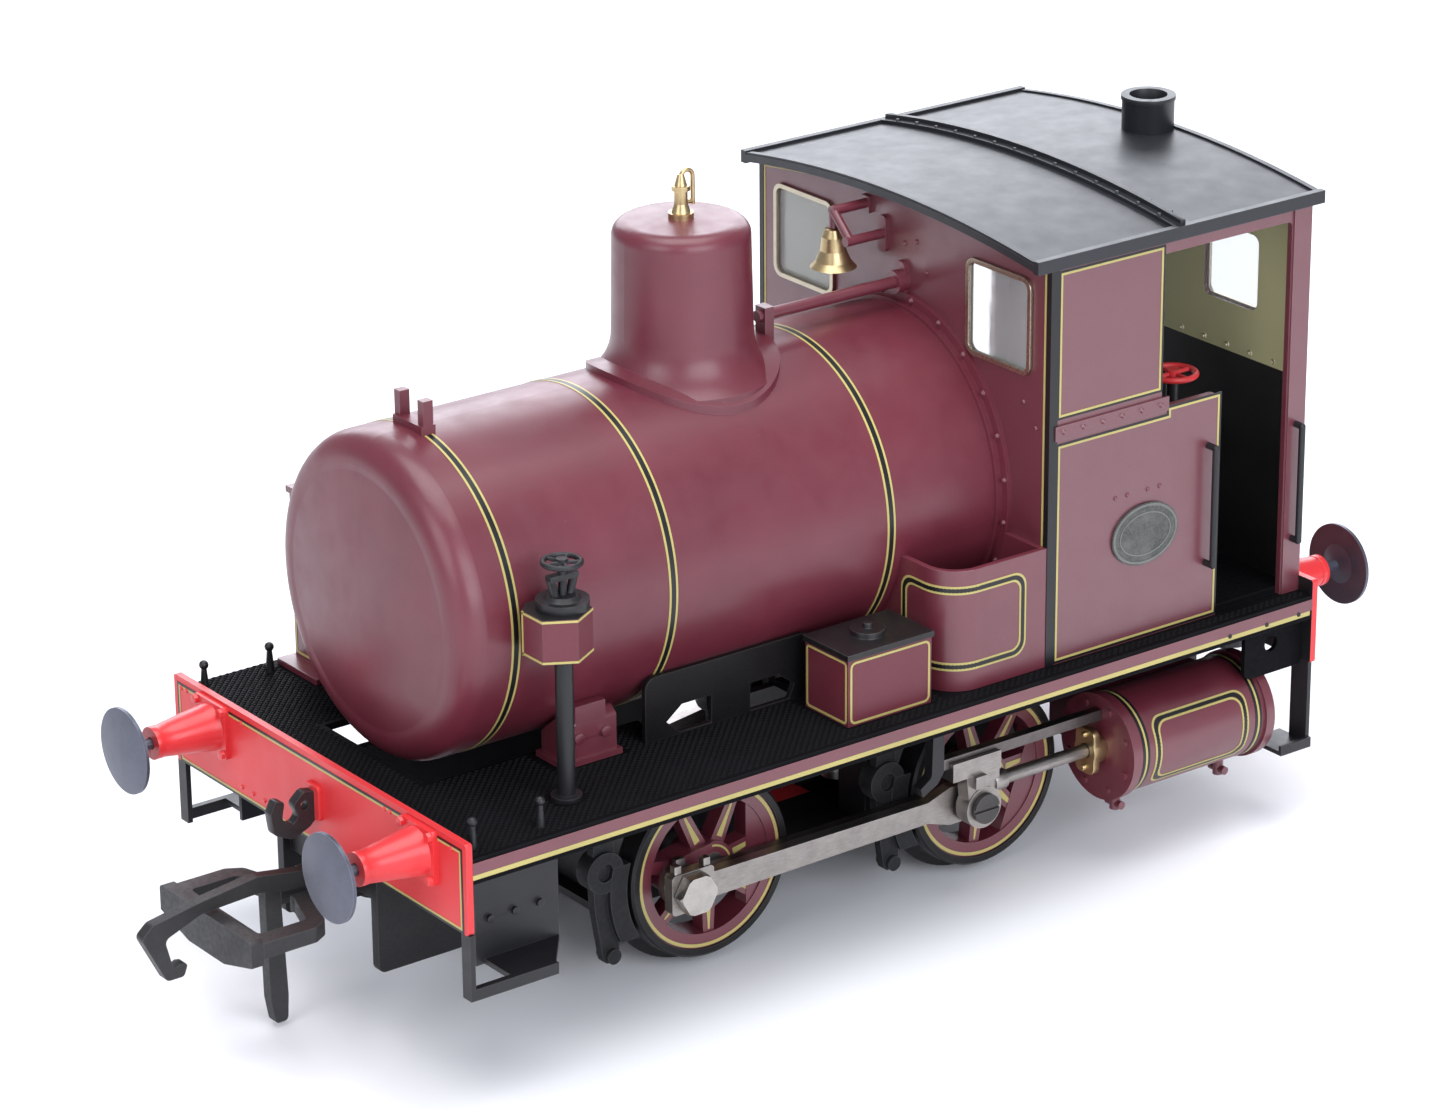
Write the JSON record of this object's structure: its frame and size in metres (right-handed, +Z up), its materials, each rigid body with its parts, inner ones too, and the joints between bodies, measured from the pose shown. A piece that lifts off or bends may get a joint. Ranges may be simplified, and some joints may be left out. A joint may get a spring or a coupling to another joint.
{
  "type": "model steam locomotive",
  "caption": "Four-wheeled industrial locomotive model with a fireless reservoir, dome, bell, open-sided cab, outside cylinders, turning wheels and rods, sprung buffers and swinging couplings",
  "frame": {"origin": "on the floor under the flange bottoms, midway between the axles, on the centre line", "axes": "+X towards the reservoir end, +Y the locomotive's left, +Z up"},
  "size_m": [0.0922, 0.0326, 0.0484],
  "materials": {
    "maroon_paint": "satin",
    "black_paint": "satin",
    "red_paint": "satin",
    "cast_weight": "cast",
    "black_plastic": "matt",
    "blackened_steel": "blackened",
    "rod_steel": "brushed",
    "axle_steel": "turned",
    "tyre_steel": "blackened",
    "brass": "turned",
    "plate_nickel": "etched",
    "glazing": "clear",
    "lining_yellow": "satin",
    "cab_cream": "satin"
  },
  "bodies": {
    "chassis": {"main_frames": "black_paint", "keeper_plate": "black_plastic", "brake_gear": "black_plastic", "footplate": "black_paint", "buffer_beams": "red_paint", "buffer_housings": "red_paint", "drawhooks": "blackened_steel", "steps": "black_paint", "stanchions": "black_paint", "reservoir": "maroon_paint", "dome": "maroon_paint", "safety_valve": "brass", "steam_pipe": "maroon_paint", "bell_bracket": "maroon_paint", "bell": "brass", "cab_front_sheet": "maroon_paint", "cab_sides": "maroon_paint", "cab_rear_sheet": "maroon_paint", "cab_roof": "black_paint", "cab_floor": "black_paint", "window_frames": "brass", "window_glazing": "glazing", "cab_handrails": "blackened_steel", "maker_plates": "plate_nickel", "hand_brake": "red_paint", "bunkers": "maroon_paint", "sandboxes": "maroon_paint", "charging_column": "black_paint", "charging_valve_box": "maroon_paint", "locker": "maroon_paint", "valve_castings": "maroon_paint", "cylinders": "maroon_paint", "cylinder_glands": "brass", "slide_bars": "rod_steel", "motion_brackets": "black_paint", "motor": "blackened_steel"},
    "front_wheelset": {"front_axle": "axle_steel", "front_wheel_centres": "maroon_paint", "front_tyres": "tyre_steel"},
    "rear_wheelset": {"rear_axle": "axle_steel", "rear_wheel_centres": "maroon_paint", "rear_tyres": "tyre_steel", "axle_gear": "brass"},
    "coupling_rod_left_body": {"coupling_rod_left": "rod_steel"},
    "coupling_rod_right_body": {"coupling_rod_right": "rod_steel"},
    "connecting_rod_left_body": {"connecting_rod_left": "rod_steel"},
    "connecting_rod_right_body": {"connecting_rod_right": "rod_steel"},
    "gudgeon_left_body": {"gudgeon_pin_left": "blackened_steel"},
    "gudgeon_right_body": {"gudgeon_pin_right": "blackened_steel"},
    "crosshead_left_body": {"crosshead_left": "rod_steel"},
    "crosshead_right_body": {"crosshead_right": "rod_steel"},
    "drive_shaft": {"worm_shaft": "axle_steel"},
    "buffer_front_left_body": {"buffer_front_left": "blackened_steel"},
    "buffer_front_right_body": {"buffer_front_right": "blackened_steel"},
    "buffer_rear_left_body": {"buffer_rear_left": "blackened_steel"},
    "buffer_rear_right_body": {"buffer_rear_right": "blackened_steel"},
    "front_coupling_body": {"front_coupling": "black_plastic"},
    "front_hook_body": {"front_coupling_hook": "black_plastic"},
    "rear_coupling_body": {"rear_coupling": "black_plastic"},
    "rear_hook_body": {"rear_coupling_hook": "black_plastic"}
  },
  "joints": [
    {"name": "rear_axle_turn", "type": "hinge", "parent": "chassis", "child": "rear_wheelset", "pos_m": [-0.011, 0, 0.0067], "axis": [0, 1, 0], "continuous": true},
    {"name": "front_axle_turn", "type": "hinge", "parent": "chassis", "child": "front_wheelset", "pos_m": [0.011, 0, 0.0067], "axis": [0, 1, 0], "continuous": true},
    {"name": "drive_shaft_turn", "type": "hinge", "parent": "chassis", "child": "drive_shaft", "pos_m": [-0.00645, 0, 0.0075], "axis": [0, 0, 1], "continuous": true},
    {"name": "coupling_rod_left_turn", "type": "hinge", "parent": "front_wheelset", "child": "coupling_rod_left_body", "pos_m": [0.014, 0.0103, 0.0067], "axis": [0, 1, 0], "continuous": true},
    {"name": "coupling_rod_right_turn", "type": "hinge", "parent": "front_wheelset", "child": "coupling_rod_right_body", "pos_m": [0.011, -0.0103, 0.0037], "axis": [0, 1, 0], "continuous": true},
    {"name": "connecting_rod_left_turn", "type": "hinge", "parent": "front_wheelset", "child": "connecting_rod_left_body", "pos_m": [0.014, 0.0113, 0.0067], "axis": [0, 1, 0], "continuous": true},
    {"name": "connecting_rod_right_turn", "type": "hinge", "parent": "front_wheelset", "child": "connecting_rod_right_body", "pos_m": [0.011, -0.0113, 0.0037], "axis": [0, 1, 0], "continuous": true},
    {"name": "gudgeon_left_turn", "type": "hinge", "parent": "rear_wheelset", "child": "gudgeon_left_body", "pos_m": [-0.0095, 0.0125, 0.0067], "axis": [0, 1, 0], "continuous": true},
    {"name": "gudgeon_right_turn", "type": "hinge", "parent": "rear_wheelset", "child": "gudgeon_right_body", "pos_m": [-0.011, -0.0125, 0.0052], "axis": [0, 1, 0], "continuous": true},
    {"name": "crosshead_left_turn", "type": "hinge", "parent": "gudgeon_left_body", "child": "crosshead_left_body", "pos_m": [-0.008, 0.0125, 0.0067], "axis": [0, 1, 0], "continuous": true},
    {"name": "crosshead_right_turn", "type": "hinge", "parent": "gudgeon_right_body", "child": "crosshead_right_body", "pos_m": [-0.011, -0.0125, 0.0067], "axis": [0, 1, 0], "continuous": true},
    {"name": "buffer_front_left_slide", "type": "slide", "parent": "chassis", "child": "buffer_front_left_body", "axis": [-1, 0, 0], "range_m": [0, 0.0009], "stiffness_N_per_m": 150, "springref_m": -0.0005},
    {"name": "buffer_front_right_slide", "type": "slide", "parent": "chassis", "child": "buffer_front_right_body", "axis": [-1, 0, 0], "range_m": [0, 0.0009], "stiffness_N_per_m": 150, "springref_m": -0.0005},
    {"name": "buffer_rear_left_slide", "type": "slide", "parent": "chassis", "child": "buffer_rear_left_body", "axis": [1, 0, 0], "range_m": [0, 0.0009], "stiffness_N_per_m": 150, "springref_m": -0.0005},
    {"name": "buffer_rear_right_slide", "type": "slide", "parent": "chassis", "child": "buffer_rear_right_body", "axis": [1, 0, 0], "range_m": [0, 0.0009], "stiffness_N_per_m": 150, "springref_m": -0.0005},
    {"name": "front_coupling_swing", "type": "hinge", "parent": "chassis", "child": "front_coupling_body", "pos_m": [0.0295, 0, 0.0081], "axis": [0, 0, 1], "range_deg": [-12, 12]},
    {"name": "front_hook_lift", "type": "hinge", "parent": "front_coupling_body", "child": "front_hook_body", "pos_m": [0.034, 0, 0.0091], "axis": [0, -1, 0], "range_deg": [0, 18]},
    {"name": "rear_coupling_swing", "type": "hinge", "parent": "chassis", "child": "rear_coupling_body", "pos_m": [-0.0295, 0, 0.0081], "axis": [0, 0, 1], "range_deg": [-12, 12]},
    {"name": "rear_hook_lift", "type": "hinge", "parent": "rear_coupling_body", "child": "rear_hook_body", "pos_m": [-0.034, 0, 0.0091], "axis": [0, 1, 0], "range_deg": [0, 18]}
  ],
  "couplings": [
    {"joint": "front_axle_turn", "follows": "rear_axle_turn", "ratio": 1},
    {"joint": "drive_shaft_turn", "follows": "rear_axle_turn", "ratio": 22},
    {"joint": "coupling_rod_left_turn", "follows": "rear_axle_turn", "ratio": -1},
    {"joint": "coupling_rod_right_turn", "follows": "rear_axle_turn", "ratio": -1},
    {"joint": "connecting_rod_left_turn", "follows": "rear_axle_turn", "ratio": -1},
    {"joint": "connecting_rod_right_turn", "follows": "rear_axle_turn", "ratio": -1},
    {"joint": "gudgeon_left_turn", "follows": "rear_axle_turn", "ratio": -2},
    {"joint": "gudgeon_right_turn", "follows": "rear_axle_turn", "ratio": -2},
    {"joint": "crosshead_left_turn", "follows": "rear_axle_turn", "ratio": 1},
    {"joint": "crosshead_right_turn", "follows": "rear_axle_turn", "ratio": 1}
  ]
}
